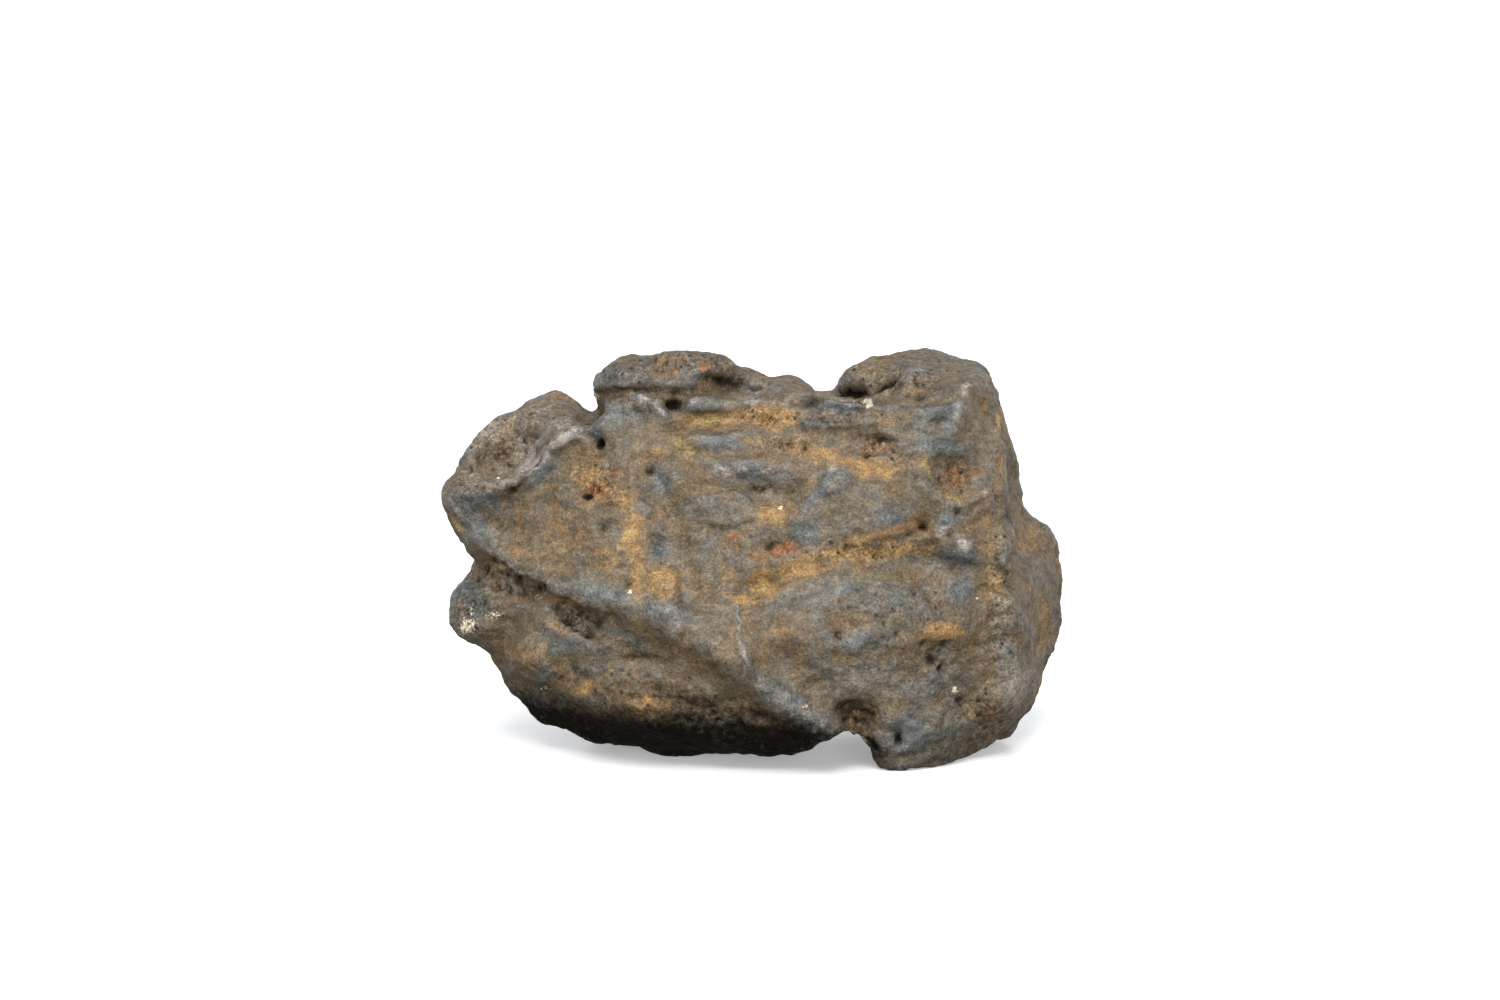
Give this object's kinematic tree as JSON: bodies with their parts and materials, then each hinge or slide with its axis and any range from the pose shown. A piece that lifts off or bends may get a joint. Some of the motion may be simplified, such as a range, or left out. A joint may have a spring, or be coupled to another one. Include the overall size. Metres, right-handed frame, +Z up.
{
  "type": "iron meteorite",
  "caption": "Small weathered iron meteorite with thumbprint dishes, ridges and pitted rusty crust.",
  "frame": {"origin": "centre of the stone's bounding box in plan, on the ground that its three worn feet stand on", "axes": "+X along the long side of the stone, towards its swollen right flank; +Y from the front face to the back; +Z up"},
  "size_m": [0.0408, 0.0246, 0.0255],
  "materials": {
    "rusty_iron_crust": "weathered fusion crust, brown-grey with ochre rust, dull with a faint metallic sheen on the ridges"
  },
  "bodies": {
    "root": {"meteorite": "rusty_iron_crust"}
  },
  "joints": []
}
